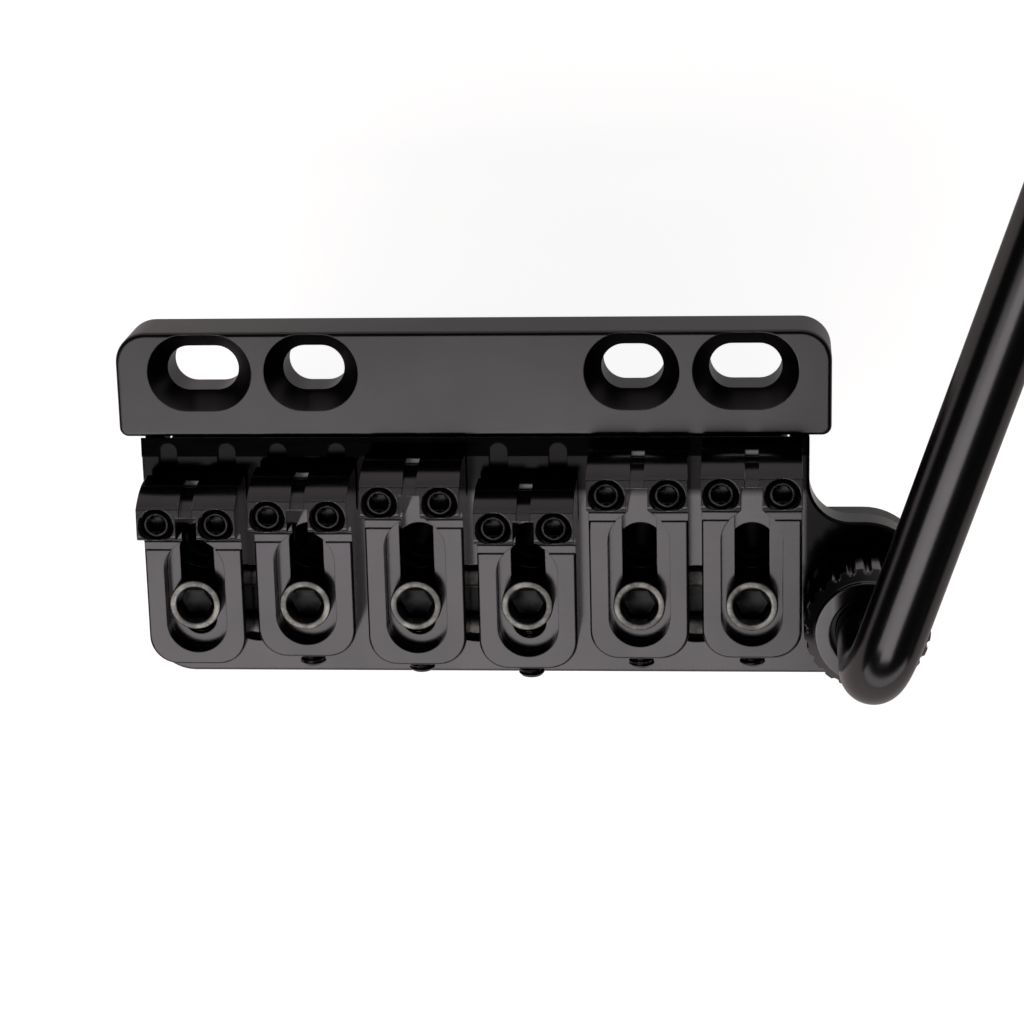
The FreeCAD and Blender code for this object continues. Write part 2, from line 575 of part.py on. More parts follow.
# Saddles: each is padded from its side view, then slotted, forked and drilled.
long_ones = (3, 5, 6)
for number, count in enumerate(half_pitches, 1):
    x, reach_past = dim("string_pitch") * count, dim("long_reach" if number in long_ones else "short_reach")
    place = dim("clamp_y") + reach_past - dim("saddle_%d_set" % number)
    saddle = new_body("saddle_%d" % number, x, place, floor)
    slot_end = -(reach_past + dim("slot_behind"))
    end = slot_end - dim("rear_wall")
    width, lug, top_z = dim("saddle_width"), dim("lug_top"), dim("plate_top")
    band_z = top_z - dim("plate_step")
    front, start = dim("nose_front"), dim("nose_start")
    crest = lug - dim("lug_drop")
    span, rise = front - dim("lug_long"), crest - start
    round_nose = (span * span + rise * rise) / (span * 2)
    centre = (front - round_nose, start)
    sketch = new_sketch(saddle, "YZ_Plane")
    outline = [(end, 0.0), (0.0, 0.0), (dim("belly_start"), dim("belly")), (dim("belly_end"), dim("belly")),
               (front, dim("beak")), (front, start), (dim("lug_long"), crest), (0.0, lug),
               (-dim("lug_lean"), band_z), (-dim("lug_foot"), band_z), (-dim("lug_foot"), top_z), (end, top_z)]
    add_polygon(sketch, outline, {5: (centre, round_nose, False)})
    step = solid_step(saddle, "Pad", sketch, width, midplane=True)
    side_x = width.value / 2
    step = broken(saddle, "Fillet", step, dim("rear_corner"),
                  upright_at([(side_x, end.value), (-side_x, end.value)]))
    foot_y, foot_z, lug_z = -DIMENSIONS["lug_lean"], band_z.value, lug.value
    step = broken(saddle, "Fillet", step, dim("foot_fillet"),
                  lambda e, c, b: abs(c.y - foot_y) < 0.01 and abs(c.z - foot_z) < 0.01)
    step = broken(saddle, "Fillet", step, dim("lug_edge"),
                  lambda e, c, b: abs(c.y) < 0.01 and abs(c.z - lug_z) < 0.01)
    flat_z, flat_y = top_z.value, -DIMENSIONS["lug_foot"]
    step = broken(saddle, "Fillet", step, dim("plate_edge"),
                  lambda e, c, b: abs(b.ZMin - flat_z) < 0.01 and b.ZLength < 0.01 and c.y < flat_y - 0.1)
    corner, foot = dim("lug_corner"), -dim("lug_lean")
    apart = dim("plate_edge")
    for wall, sign in ((dim("channel"), 1.0), (-dim("channel"), -1.0), (width / 2, -1.0), (-(width / 2), 1.0)):
        sketch = new_sketch(saddle, "XY_Plane", top_z)
        middle, beyond = wall + corner * sign, wall - apart * sign
        add_polygon(sketch, [(beyond, foot + corner), (wall, foot + corner), (middle, foot), (middle, foot - apart),
                             (beyond, foot - apart)], {1: ((middle, foot + corner), corner, sign < 0)})
        solid_step(saddle, "Pocket", sketch, lug, reverse=True)
    sketch = new_sketch(saddle, "XY_Plane", dim("ledge"))
    add_slot(sketch, (0.0, slot_end), (0.0, -dim("slot_front")), dim("clamp_head") + dim("head_gap"))
    solid_step(saddle, "Pocket", sketch, lug, reverse=True)
    sketch = new_sketch(saddle, "XY_Plane")
    shank_slot = dim("clamp_radius") + dim("shank_slot_gap")
    add_slot(sketch, (0.0, slot_end), (0.0, -dim("shank_front")), shank_slot)
    solid_step(saddle, "Pocket", sketch, lug, reverse=True)
    sketch = new_sketch(saddle, "XY_Plane")
    fork, fork_rear, fork_front = dim("channel"), -dim("lug_foot"), dim("channel_front")
    add_polygon(sketch, [(-fork, fork_rear), (fork, fork_rear), (fork, fork_front), (-fork, fork_front)])
    solid_step(saddle, "Pocket", sketch, lug, reverse=True)
    sketch = new_sketch(saddle, "YZ_Plane")
    seat_r, clear_r = round_nose - dim("groove_in_nose"), round_nose + dim("groove_in_nose")
    add_polygon(sketch, [(centre[0] + seat_r, start), (centre[0] + clear_r, start),
                         (centre[0], start + clear_r), (centre[0], start + seat_r)],
                {1: (centre, clear_r, False), 3: (centre, seat_r, True)})
    solid_step(saddle, "Pocket", sketch, dim("string_groove") * 2, midplane=True)
    sketch = new_sketch(saddle, "XY_Plane")
    for side in (-1.0, 1.0):
        add_circle(sketch, dim("height_half") * side, dim("screw_y"), dim("height_radius") + dim("thread_gap"))
    solid_step(saddle, "Pocket", sketch, lug, reverse=True)
    hole, lead = dim("height_radius") + dim("thread_gap"), dim("hole_lead")
    for side in (-1.0, 1.0):
        lower = new_sketch(saddle, "XY_Plane", lug - dim("lug_drop") - lead)
        add_circle(lower, dim("height_half") * side, dim("screw_y"), hole)
        upper = new_sketch(saddle, "XY_Plane", lug)
        add_circle(upper, dim("height_half") * side, dim("screw_y"), hole + lead + dim("lug_drop"))
        cut_loft(saddle, lower, upper)
    sketch = new_sketch(saddle, "XZ_Plane", -end)
    add_circle(sketch, 0.0, dim("stop_z"), dim("stop_radius") + dim("thread_gap"))
    solid_step(saddle, "Pocket", sketch, dim("rear_wall") - shank_slot / 2)
    nodes.append(saddle)

    # Clamp screw: through the saddle's slot into the base.
    radius, head, high = dim("clamp_radius"), dim("clamp_head"), dim("clamp_head_high")
    deep, edge, dish = dim("clamp_deep"), dim("screw_chamfer"), dim("clamp_dish")
    key_top = high - dim("clamp_dish_deep")
    outline = [(0.0, -deep), (radius - edge, -deep), (radius, edge - deep), (radius, 0.0), (head, 0.0),
               (head, high - edge), (head - edge, high), (dish, high), (dish - dim("clamp_dish_deep"), key_top),
               (0.0, key_top)]
    screw_body("clamp_screw_%d" % number, x, dim("clamp_y"), floor + dim("ledge"), outline, dim("clamp_key"),
               dim("clamp_key_deep"), key_top)

    # Height screws: a pair in each saddle's lugs, standing in the grooves of the floor.
    radius, point = dim("height_radius"), dim("height_point")
    tall, tip = lug - dim("height_recess"), dim("stop_gap") - dim("groove_depth")
    outline = [(0.0, tip), (point - edge, tip), (point, tip + edge), (point, edge), (radius, dim("belly") + edge),
               (radius, tall - edge), (radius - edge, tall), (0.0, tall)]
    for side, hand in ((-1.0, "bass"), (1.0, "treble")):
        screw_body("height_screw_%d_%s" % (number, hand), x + dim("height_half") * side, place + dim("screw_y"),
                   floor, outline, dim("height_key"), dim("height_key_deep"), tall)

    # Intonation screw: its tip stands at the clamp screw and the saddle runs on its thread.
    radius, stop_end = dim("stop_radius"), place + end - dim("stop_%d_out" % number)
    reach = dim("clamp_y") - dim("clamp_radius") - dim("stop_gap") - stop_end
    outline = [(0.0, -reach), (radius - edge, -reach), (radius, edge - reach), (radius, -edge),
               (radius - edge, 0.0), (0.0, 0.0)]
    stop = screw_body("intonation_screw_%d" % number, x, stop_end, floor + dim("stop_z"), outline,
                      dim("stop_key"), dim("stop_key_deep"), 0.0)
    stop.Placement.Rotation = FreeCAD.Rotation(FreeCAD.Vector(1, 0, 0), 90)

# Arm socket: a flanged bush screwed through the tab.
ax, ay = dim("arm_x"), dim("arm_y")
tube, bore = dim("socket_radius"), dim("arm_radius") + dim("arm_gap")
socket = new_body("arm_socket", ax, ay, 0.0)
sketch = new_sketch(socket, "XZ_Plane")
lip, lip_top = dim("socket_lip"), floor + dim("socket_flange_high")
add_polygon(sketch, [(bore, low), (tube, low), (tube, floor), (lip, floor), (lip, lip_top), (tube, lip_top),
                     (tube, dim("socket_top") - edge), (tube - edge, dim("socket_top")), (bore, dim("socket_top"))])
turned(socket, sketch)
nodes.append(socket)

# Arm collar: a fluted friction nut that closes in over the socket.
FLUTES = 24
collar = new_body("arm_collar", ax, ay, 0.0)
sketch = new_sketch(collar, "XZ_Plane")
bottom, crown, shoulder = lip_top + dim("collar_lift"), dim("collar_top"), dim("collar_step")
bore, grip, ring, hole = dim("collar_bore"), dim("collar_radius"), dim("ring_radius"), dim("ring_hole")
soft, cone, rest = dim("collar_edge"), dim("collar_cone"), dim("socket_top") + dim("ring_rest")
add_polygon(sketch, [(bore, bottom), (grip - soft, bottom), (grip, bottom + soft), (grip, shoulder - cone),
                     (grip - cone, shoulder), (ring, shoulder), (ring, crown - soft), (ring - soft, crown),
                     (hole + soft / 2, crown), (hole, crown - soft / 2), (hole, rest), (bore, rest)])
turned(collar, sketch)
sketch = new_sketch(collar, "XY_Plane", bottom)
add_circle(sketch, grip + dim("flute_offset"), 0.0, dim("flute_radius"))
flute = solid_step(collar, "Pocket", sketch, shoulder - bottom + soft, reverse=True)
flutes = collar.newObject("PartDesign::PolarPattern", "flutes")
flutes.Originals = [flute]
flutes.Axis = (origin_item(collar, "Z_Axis"), [""])
flutes.Angle = 360.0
flutes.Occurrences = FLUTES
collar.Tip = flutes
doc.recompute()
nodes.append(collar)

# Tremolo arm: a round bar swept round one bend, in its own upright plane.
arm = new_body("tremolo_arm", ax, ay, 0.0)
bind(arm, "Placement.Rotation.Angle", dim("arm_heading"))
arm.Placement.Rotation = FreeCAD.Rotation(FreeCAD.Vector(0, 0, 1), DIMENSIONS["arm_heading"])
rise = math.radians(DIMENSIONS["arm_rise"])
bend, level = dim("bend_radius"), dim("arm_level")
turn_z = level - bend * math.cos(rise)
off = (bend - bend * math.sin(rise), turn_z + bend * math.cos(rise))
reach = dim("arm_reach")
tip = (off[0] + reach * math.cos(rise), off[1] + reach * math.sin(rise))
path = new_sketch(arm, "XZ_Plane")
add_polygon(path, [(0.0, dim("arm_foot")), (0.0, turn_z), off, tip], {1: ((bend, turn_z), bend, True)}, False)
section = new_sketch(arm, "XY_Plane", dim("arm_foot"))
add_circle(section, 0.0, 0.0, dim("arm_radius"))
pipe = arm.newObject("PartDesign::AdditivePipe", "bar")
pipe.Profile = section
pipe.Spine = path
doc.recompute()
step = broken(arm, "Fillet", pipe, dim("arm_tip"), lambda e, c, b: c.x > reach.value / 2 and b.XLength < 1.0)
arm_low = dim("arm_foot").value
broken(arm, "Chamfer", step, dim("arm_chamfer"), lambda e, c, b: b.ZMax < arm_low + 0.01)
nodes.append(arm)

doc.recompute()
for item in doc.Objects:
    if "Invalid" in item.State or "Error" in item.State:
        raise ValueError("%s is %s" % (item.Label, item.State))
os.makedirs("parts", exist_ok=True)
for body in nodes:
    if body.Shape.isNull() or not body.Shape.isValid() or not body.Shape.Solids:
        raise ValueError("bad shape in %s" % body.Label)
    body.Shape.exportStep("parts/%s.step" % body.Label)
    print("%-24s solids %d volume %.1f" % (body.Label, len(body.Shape.Solids), body.Shape.Volume))
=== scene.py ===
"""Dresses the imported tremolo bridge: screws, fluted collar, swept arm, finishes and stage."""
import math

import bpy
import numpy as np
from mathutils import Matrix, Vector


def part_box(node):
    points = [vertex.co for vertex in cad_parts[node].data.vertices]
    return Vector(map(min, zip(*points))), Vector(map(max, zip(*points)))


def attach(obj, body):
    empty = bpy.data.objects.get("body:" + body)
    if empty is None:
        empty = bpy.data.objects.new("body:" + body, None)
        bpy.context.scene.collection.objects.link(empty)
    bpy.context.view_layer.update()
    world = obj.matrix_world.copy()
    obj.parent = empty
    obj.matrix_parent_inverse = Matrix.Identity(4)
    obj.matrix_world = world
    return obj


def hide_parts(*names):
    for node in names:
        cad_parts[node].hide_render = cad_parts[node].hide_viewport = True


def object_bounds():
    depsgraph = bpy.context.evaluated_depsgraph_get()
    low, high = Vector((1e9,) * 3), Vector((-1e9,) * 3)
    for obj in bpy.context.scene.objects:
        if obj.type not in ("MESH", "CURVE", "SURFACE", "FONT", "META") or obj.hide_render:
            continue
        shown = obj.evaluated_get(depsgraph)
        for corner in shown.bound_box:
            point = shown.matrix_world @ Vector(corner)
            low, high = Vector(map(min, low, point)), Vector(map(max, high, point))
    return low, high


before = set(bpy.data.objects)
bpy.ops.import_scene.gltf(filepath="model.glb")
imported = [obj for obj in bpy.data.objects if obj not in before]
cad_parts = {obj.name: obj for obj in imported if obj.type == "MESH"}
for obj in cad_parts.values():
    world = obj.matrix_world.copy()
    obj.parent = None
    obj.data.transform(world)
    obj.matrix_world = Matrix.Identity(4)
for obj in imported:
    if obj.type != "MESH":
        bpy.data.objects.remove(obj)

bl_info = {
    "name": "Tremolo bridge dresser",
    "version": (1, 0, 0),
    "blender": (4, 5, 0),
    "location": "View3D > Sidebar > Bridge",
    "description": "Builds the screws, collar, arm, finishes and stage of a guitar tremolo bridge "
                   "on its CAD frame",
    "category": "Object",
}

CAD_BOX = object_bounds()
MM = 0.001
FULL_TURN = 2 * math.pi
STRINGS = (1, 2, 3, 4, 5, 6)
HANDS = ("bass", "treble")
# Height of the clamp heads at rest, in mm
HEAD_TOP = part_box("clamp_screw_1")[1][2] / MM

# Points round a cap screw, a set screw and the arm, and points in one flute of the collar
CAP_POINTS = 72
SET_POINTS = 60
ARM_POINTS = 72
FLUTE_POINTS = 16
# Edges sharper than this stay hard in the shading.
SHARP_EDGE = math.radians(32.0)

# Thread: its depth as a share of the pitch, its rows of points in one turn, and the fewest rows
THREAD_DEPTH = 0.55
THREAD_ROWS = 6
THREAD_LEAST = 8

# Key socket: chamfer and foot of the walls as shares of the depth, then the inset of the walls and
# the radius of the drilled hole as shares of the width
KEY_CHAMFER = 0.04
KEY_FOOT = 0.98
KEY_INSET = 0.02
KEY_DRILL = 0.42

# Sizes of the noise in the finishes, in mm: worn patches, cloudy tint, and brushing along X. The
# brushing is coarser than the real grit so that it shows.
PATCH_MM = 1.6
CLOUD_MM = 9.0
BRUSH_MM = (5.0, 0.22, 0.22)
# Dot products of the two normals between which the edge mask rises
EDGE_MASK = (0.995, 0.9)
BEVEL_SAMPLES = 6
# The part of the patches' noise that counts, and the wear it stands for
PATCH_NOISE = (0.42, 0.66)
PATCH_WEAR = (0.12, 0.5)
# The part of the other noises that counts, and the cloudy tint's share of the colour
MID_NOISE = (0.3, 0.7)
CLOUD_TINT = (0.92, 1.06)

# Floor: half its width and its gap below the block, in metres, and its points along a side
FLOOR_HALF = 2.0
FLOOR_GAP = 0.4 * MM
FLOOR_POINTS = 9
# Glow of the floor for the camera and in mirrors, and of the world for all but the camera
FLOOR_SEEN = 0.92
FLOOR_MIRRORED = 0.25
WORLD_DIM = 0.02
WHITE = (1.0, 1.0, 1.0, 1.0)

# Softboxes: name, place, target, width and depth, in metres, and radiance
SOFTBOXES = (
    # The key hangs level over the rear, where the flats mirror it into the camera, and ends near
    # the arm.
    ("Key_softbox", (-0.155, -0.39, 0.62), (-0.155, -0.39, 0.0), 0.42, 0.44, 1.55),
    # A strip before it lies where the plate's top is mirrored, and reaches further to the right.
    ("Plate_softbox", (0.03, -0.15, 0.62), (0.03, -0.15, 0.0), 0.5, 0.05, 1.75),
    # A panel beside the key widens the arm's highlight to the left.
    ("Arm_softbox", (-0.495, -0.26, 0.62), (-0.495, -0.26, 0.0), 0.26, 0.2, 1.5),
    # Two low panels, behind and before, light the flats for a camera that stands lower.
    ("Rear_softbox", (-0.1, -0.95, 0.19), (0.0, 0.0, 0.0), 2.0, 0.3, 0.9),
    ("Front_softbox", (0.1, 0.95, 0.15), (0.0, 0.0, 0.0), 2.2, 0.3, 0.4),
)

# Camera fitted to the photograph: sensor and lens in mm, clipping and place in metres, and axes
CAMERA_SENSOR = 36.0
CAMERA_LENS = 105.47
CAMERA_CLIP = (0.01, 20.0)
CAMERA_PLACE = (28.52 * MM, 68.02 * MM, 285.52 * MM)
CAMERA_RIGHT = (0.9964, -0.024, -0.0816)
CAMERA_UP = (0.0, 0.9594, -0.282)
CAMERA_FORWARD = (-0.085, -0.281, -0.9559)


def length(name, description, millimetres):
    """A length property, given in mm and kept in metres."""
    return bpy.props.FloatProperty(name=name, description=description, default=millimetres * MM,
                                   unit="LENGTH", precision=5)


def degrees(name, description, value):
    """An angle property, given in degrees and kept in radians."""
    return bpy.props.FloatProperty(name=name, description=description,
                                   default=math.radians(value), subtype="ANGLE")


def hex_colour(name, description, value):
    """A colour property, kept as an sRGB hex value."""
    return bpy.props.StringProperty(name=name, description=description, default=value)


class BridgeSizes(bpy.types.PropertyGroup):
    """Sizes of the dressed pieces, in metres and radians."""

    clamp_pitch: length("Clamp thread", "Pitch of the saddle clamp screws", 0.5)
    clamp_key: length("Clamp key", "Width across flats of the clamp screws' key", 2.9)
    clamp_head_high: length("Clamp head", "Height of the clamp screws' heads", 2.3)
    height_pitch: length("Height thread", "Pitch of the saddle height screws", 0.5)
    height_key: length("Height key", "Width across flats of the height screws' key", 1.5)
    stop_pitch: length("Intonation thread", "Pitch of the intonation screws", 0.45)
    stop_key: length("Intonation key", "Width across flats of the intonation screws' key", 1.27)
    block_pitch: length("Block thread", "Pitch of the block screws", 0.7)
    block_key: length("Block key", "Width across flats of the block screws' key", 3.0)
    flutes: bpy.props.IntProperty(
        name="Collar flutes", description="Number of grip flutes round the arm collar",
        default=24, min=8, max=60)
    flute_radius: length("Flute radius", "Radius of the cutter of one grip flute", 0.4)
    arm_bend: length("Arm bend", "Bend radius of the arm's centre line", 6.0)
    arm_rise: degrees("Arm rise", "Slope of the arm's long run", 7.0)
    arm_heading: degrees("Arm heading", "Direction of the arm at rest, from the treble side", 72.3)


class BridgeColours(bpy.types.PropertyGroup):
    """Colours of the finishes and the floor, as sRGB hex values."""

    plating: hex_colour("Black plating", "Plate, base and saddles", "#565355")
    plating_worn: hex_colour("Worn plating", "Edges where the plating is thin", "#c0b8b1")
    oxide: hex_colour("Black oxide", "Cap screws and block", "#4a4949")
    set_oxide: hex_colour("Oiled oxide", "Set screws and arm socket", "#333232")
    oxide_worn: hex_colour("Rubbed oxide", "Screw heads rubbed by the key", "#dad3cb")
    lacquer: hex_colour("Gloss black", "Arm collar", "#5e5b5d")
    bar: hex_colour("Black bar", "Tremolo arm", "#575455")
    steel: hex_colour("Ground steel", "Pivot pins", "#b5b3b0")
    bronze: hex_colour("Bearing bronze", "Pivot bushes", "#a9793f")
    floor: hex_colour("Floor", "Studio floor", "#f6e4e0")


def sizes():
    """The sizes as set in the scene."""
    return bpy.context.scene.bridge_sizes


def colours():
    """The colours as set in the scene."""
    return bpy.context.scene.bridge_colours


def linear(text):
    """The linear colour, with alpha 1, of an sRGB hex value."""
    parts = [int(text[i:i + 2], 16) / 255.0 for i in (1, 3, 5)]
    return tuple(p / 12.92 if p <= 0.04045 else ((p + 0.055) / 1.055) ** 2.4
                 for p in parts) + (1.0,)


def box_of(node):
    """The lowest and highest corner of a CAD node and its middle, in metres."""
    low, high = (np.array(corner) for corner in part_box(node))
    return low, high, (low + high) / 2


# Mesh helpers

def put(name, points, faces, material, body, node, wear=None):
    """Makes one smooth mesh piece from whole arrays, on a body and in place of a CAD node."""
    mesh = bpy.data.meshes.new(name)
    mesh.from_pydata(points.tolist(), [], faces)
    if wear is not None:
        layer = mesh.attributes.new("wear", "FLOAT", "POINT")
        layer.data.foreach_set("value", np.ascontiguousarray(wear, dtype=np.float32))
    mesh.polygons.foreach_set("use_smooth", np.ones(len(mesh.polygons), dtype=bool))
    mesh.set_sharp_from_angle(angle=SHARP_EDGE)
    mesh.materials.append(material)
    mesh.update()
    piece = bpy.data.objects.new(name, mesh)
    bpy.context.scene.collection.objects.link(piece)
    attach(piece, body)
    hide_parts(node)


def angles(count):
    """Even angles round a full turn."""
    return np.linspace(0.0, FULL_TURN, count, endpoint=False)


def with_poles(values):
    """Rows of values in one line, with zero for the pole before them and the pole after."""
    return np.concatenate([[0.0], values.ravel(), [0.0]])


def bands(rows, count, closed=False):
    """Quads between rows of points round an axis. When closed, the last row meets the first."""
    i, j = np.meshgrid(np.arange(rows if closed else rows - 1), np.arange(count), indexing="ij")
    this, after = i * count, (i + 1) % rows * count
    k = (j + 1) % count
    return np.stack([this + j, this + k, after + k, after + j], -1).reshape(-1, 4)


def skin(rows, count, start=0):
    """Faces of a closed surface: a pole, rows of points round an axis, and another pole."""
    j = np.arange(count)
    k = (j + 1) % count
    last_row = (rows - 1) * count
    first = np.stack([np.full(count, -1), k, j], -1)
    last = np.stack([np.full(count, rows * count), last_row + j, last_row + k], -1)
    return [tuple(face) for part in (first, bands(rows, count), last)
            for face in (part + 1 + start).tolist()]


def round_axis(radius, height, low, high, centre, along="up"):
    """Points of a turned piece: radius times the cosine and sine of each angle, at each height.

    radius and height are arrays of rows by angles, low and high the heights of the poles. The axis
    runs up, or else to the rear.
    """
    angle = angles(radius.shape[1])
    across = with_poles(radius * np.cos(angle))
    aside = with_poles(radius * np.sin(angle))
    on_axis = np.concatenate([[low], height.ravel(), [high]])
    if along == "up":
        points = np.stack([across, aside, on_axis], -1)
    else:
        points = np.stack([across, -on_axis, aside], -1)
    return points + np.asarray(centre, dtype=float)


def key_radius(angle, across):
    """A hexagon's radius: half its width over the cosine of the angle from a side's middle."""
    return across / 2 / np.cos((angle % (math.pi / 3)) - math.pi / 6)


def threaded(radius, low, high, pitch, count):
    """Rows of a thread: the radius falls in a triangle wave of height over pitch minus turns."""
    rows = max(int((high - low) / pitch * THREAD_ROWS), THREAD_LEAST)
    height = np.linspace(low, high, rows)[:, None] * np.ones((1, count))
    turn = np.linspace(0.0, 1.0, count, endpoint=False)[None, :]
    wave = np.abs(2 * ((height / pitch - turn) % 1.0) - 1.0)
    fade = np.clip((height - low) / pitch, 0, 1) * np.clip((high - height) / pitch, 0, 1)
    return radius - THREAD_DEPTH * pitch * (1 - wave) * fade, height


def plain(pairs, count):
    """Rows of constant radius and height from a list of pairs."""
    table = np.asarray(pairs, dtype=float)
    return table[:, :1] * np.ones((1, count)), table[:, 1:] * np.ones((1, count))


def rounded(radius, height, soft, steps=5):
    """Pairs that round the upper outer corner of a turned shoulder on a quarter circle."""
    angle = np.linspace(0.0, math.pi / 2, steps)
    return np.stack([radius - soft + soft * np.cos(angle),
                     height - soft + soft * np.sin(angle)], -1).tolist()


def key_socket(across, top, deep, count):
    """Rows of a hexagonal key socket, from its mouth down to the drilled hole at its foot."""
    inset = across * np.array([[0.0], [KEY_INSET], [KEY_INSET]])
    walls = key_radius(angles(count), across)[None, :] - inset
    drilled = np.full((1, count), KEY_DRILL * across)
    depth = deep * np.array([[0.0], [KEY_CHAMFER], [KEY_FOOT], [1.0]])
    return np.concatenate([walls, drilled]), top - depth * np.ones((1, count))


def stacked(*parts):
    """The rows of several parts as one array of radius and one of height."""
    return np.concatenate([p[0] for p in parts]), np.concatenate([p[1] for p in parts])


# Finishes

def cleared(owner):
    """The emptied node tree of a material or world."""
    owner.use_nodes = True
    owner.node_tree.nodes.clear()
    return owner.node_tree


def add(tree, kind, inputs=None, **fields):
    """Adds a node: fields are its settings, inputs are values or (node, output) links by socket."""
    node = tree.nodes.new(kind)
    for field, value in fields.items():
        setattr(node, field, value)
    for socket, value in (inputs or {}).items():
        if isinstance(value, tuple) and isinstance(value[0], bpy.types.Node):
            tree.links.new(value[0].outputs[value[1]], node.inputs[socket])
        else:
            node.inputs[socket].default_value = value
    return node


def noise(tree, vector, scale, detail, roughness=0.5):
    """Link to a noise over a vector."""
    node = add(tree, "ShaderNodeTexNoise", {"Vector": vector, "Scale": scale, "Detail": detail,
                                            "Roughness": roughness})
    return node, "Fac"


def ramp(tree, value, start=0.0, end=1.0, low=0.0, high=1.0):
    """Link to a value whose range from start to end is mapped to low to high."""
    node = add(tree, "ShaderNodeMapRange", {"Value": value, "From Min": start, "From Max": end,
                                            "To Min": low, "To Max": high})
    return node, "Result"


def product(tree, first, second):
    """Link to the product of two values."""
    return add(tree, "ShaderNodeMath", {0: first, 1: second}, operation="MULTIPLY"), "Value"


def mixed(tree, first, second, factor=1.0, blend="MULTIPLY"):
    """Link to a blend of two colours, whose sockets have the numbers 6 and 7 and the result 2."""
    node = add(tree, "ShaderNodeMix", {"Factor": factor, 6: first, 7: second}, data_type="RGBA",
               blend_type=blend)
    return node, 2


def finish(name, base, worn, rough, spread, grain_mm, grain_depth, edge_mm, rubbed=0.0, painted_shade=(),
           share=0.14, rim=1.0):
    """A metal's material: brushed roughness, fine grain, soft edges and patchy wear along them.

    base and worn are names of colours, grain_depth is in mm. The edge mask rises as the dot product
    of the true normal and the normal averaged over edge_mm falls. rubbed is the further wear where
    the mesh carries the wear attribute. painted_shade lists zones of painted shade, whose colour
    falls to a share of itself. A zone is a product of ramps: axis, first and last place in mm. rim
    is the tint of the reflection at a grazing view.
    """
    base_colour, worn_colour = (linear(getattr(colours(), field)) for field in (base, worn))
    material = bpy.data.materials.new(name)
    tree = cleared(material)
    place = (add(tree, "ShaderNodeTexCoord"), "Object")
    true = add(tree, "ShaderNodeNewGeometry")
    edge = add(tree, "ShaderNodeBevel", {"Radius": edge_mm * MM}, samples=BEVEL_SAMPLES)
    match = add(tree, "ShaderNodeVectorMath", {0: (edge, "Normal"), 1: (true, "Normal")},
                operation="DOT_PRODUCT")
    sharp = ramp(tree, (match, "Value"), *EDGE_MASK)
    patches = noise(tree, place, 1 / (PATCH_MM * MM), detail=4.0, roughness=0.6)
    patchy = ramp(tree, patches, *PATCH_NOISE, *PATCH_WEAR)
    wear = product(tree, sharp, patchy)
    if rubbed:
        mark = add(tree, "ShaderNodeAttribute", attribute_name="wear")
        part = product(tree, (mark, "Fac"), patchy)
        total = add(tree, "ShaderNodeMath", {0: part, 1: rubbed, 2: wear},
                    operation="MULTIPLY_ADD", use_clamp=True)
        wear = (total, "Value")
    cloud = noise(tree, place, 1 / (CLOUD_MM * MM), detail=3.0)
    shade = ramp(tree, cloud, *MID_NOISE, *CLOUD_TINT)
    colour = mixed(tree, mixed(tree, base_colour, shade), worn_colour, wear, "MIX")
    # Painted shade: each zone darkens the colour to a share of itself.
    if painted_shade:
        spot = add(tree, "ShaderNodeSeparateXYZ", {"Vector": place})
    for zone in painted_shade:
        inside = 1.0
        for axis, start, end in zone:
            inside = product(tree, ramp(tree, (spot, axis), start * MM, end * MM), inside)
        colour = mixed(tree, colour, ramp(tree, inside, low=1.0, high=share))
    drawn = add(tree, "ShaderNodeMapping", {"Vector": place,
                                            "Scale": tuple(1 / (mm * MM) for mm in BRUSH_MM)})
    streaks = noise(tree, (drawn, "Vector"), 1.0, detail=4.0, roughness=0.62)
    gloss = ramp(tree, streaks, *MID_NOISE, rough - spread, rough + spread)
    grain = noise(tree, place, 1 / (grain_mm * MM), detail=3.0, roughness=0.55)
    bump = add(tree, "ShaderNodeBump", {"Strength": 1.0, "Distance": grain_depth * MM,
                                        "Height": grain, "Normal": (edge, "Normal")})
    shader = add(tree, "ShaderNodeBsdfPrincipled", {
        "Base Color": colour, "Metallic": 1.0, "Roughness": gloss, "Normal": (bump, "Normal"),
        "Specular Tint": (rim, rim, rim, 1.0)})
    add(tree, "ShaderNodeOutputMaterial", {"Surface": (shader, "BSDF")})
    return material


